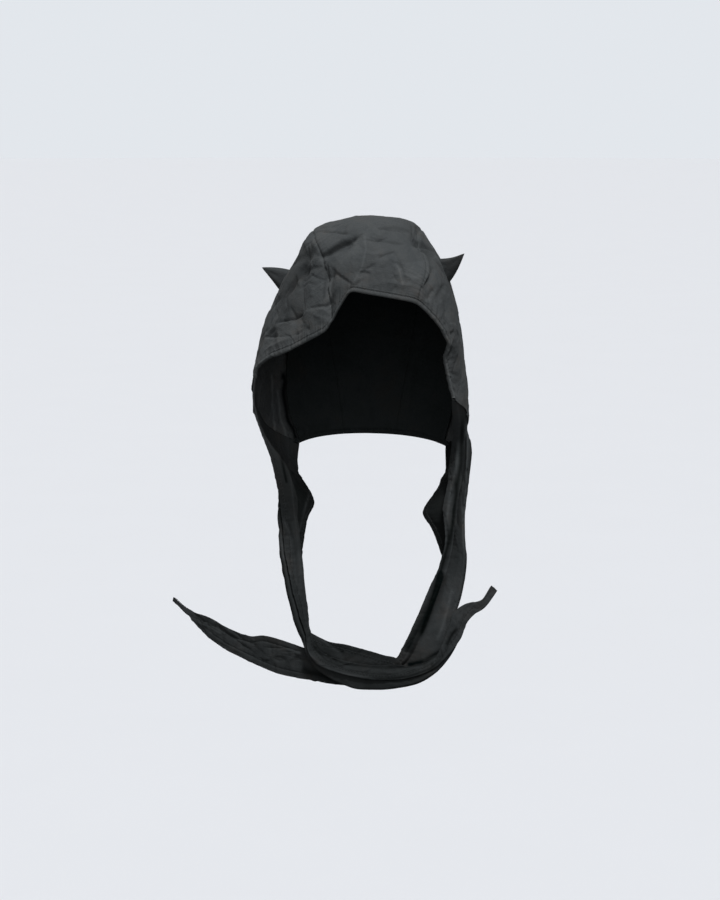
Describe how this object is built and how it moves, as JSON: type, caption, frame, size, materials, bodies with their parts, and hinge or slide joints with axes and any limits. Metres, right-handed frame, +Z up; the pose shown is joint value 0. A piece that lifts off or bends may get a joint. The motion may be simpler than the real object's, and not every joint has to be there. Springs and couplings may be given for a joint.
{
  "type": "hooded scarf",
  "caption": "Lined nylon hood with small padded horns, a topstitched face opening and long folded scarf tails that cross below the chin.",
  "frame": {"origin": "inside of the crown, where the top of the head sits, over the middle between the ears", "axes": "+Z up from the head, -Y out of the face opening, -X towards the wearer's right"},
  "size_m": [0.3609, 0.2251, 0.5011],
  "materials": {
    "shell_nylon": "satin charcoal woven nylon",
    "lining_nylon": "matt black woven lining",
    "horn_nylon": "satin charcoal woven nylon",
    "scarf_nylon": "satin charcoal woven nylon"
  },
  "bodies": {
    "root": {"hood_centre_panel": "shell_nylon", "hood_left_panel": "shell_nylon", "hood_right_panel": "shell_nylon", "face_hem": "shell_nylon", "lining_centre": "lining_nylon", "lining_left": "lining_nylon", "lining_right": "lining_nylon", "nape_hem": "lining_nylon", "horn_left": "horn_nylon", "horn_right": "horn_nylon", "scarf_left": "scarf_nylon", "scarf_right": "scarf_nylon"}
  },
  "joints": []
}
